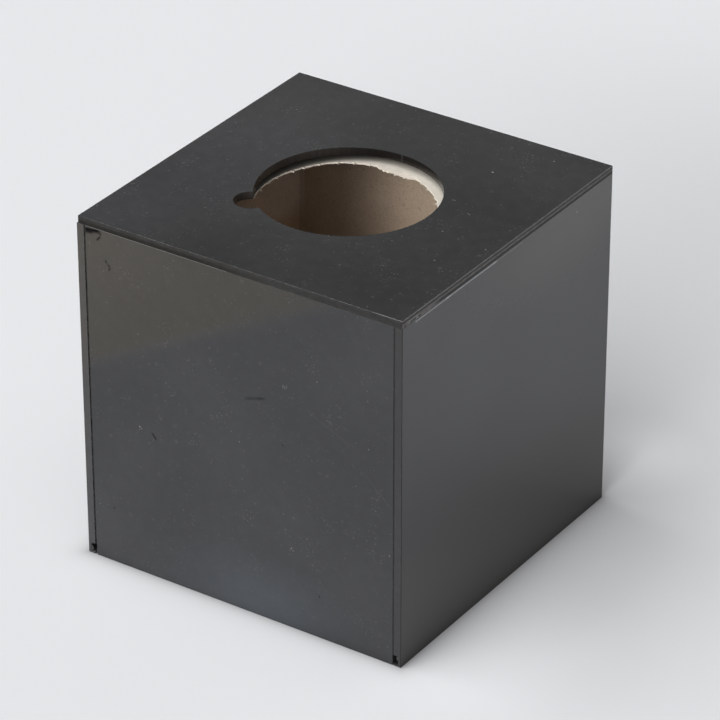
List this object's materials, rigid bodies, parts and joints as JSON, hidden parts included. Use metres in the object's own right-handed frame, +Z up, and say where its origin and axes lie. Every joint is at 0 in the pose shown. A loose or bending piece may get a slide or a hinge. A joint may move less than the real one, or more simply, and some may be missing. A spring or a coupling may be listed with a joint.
{
  "type": "tissue dispenser box",
  "caption": "Cube tissue box cover of glossy black sheet plastic with a round dispensing hole, a finger notch and a slide-out base, over a card carton.",
  "frame": {"origin": "middle of the surface that the box stands on", "axes": "+Z up, +X to the right and +Y to the back, seen from the front"},
  "size_m": [0.13, 0.13, 0.1327],
  "materials": {
    "black_acrylic": "polished",
    "solvent_cement": "set cement with bubbles",
    "carton_card": "plain grey-brown inside, white-faced outside"
  },
  "bodies": {
    "cover": {"top_plate": "black_acrylic", "left_panel": "black_acrylic", "right_panel": "black_acrylic", "front_panel": "black_acrylic", "back_panel": "black_acrylic", "cement_seams": "solvent_cement", "tissue_carton": "carton_card"},
    "base": {"base_panel": "black_acrylic"}
  },
  "joints": [
    {"name": "base_slide", "type": "slide", "parent": "cover", "child": "base", "axis": [0, 1, 0], "range_m": [0, 0.12]}
  ]
}
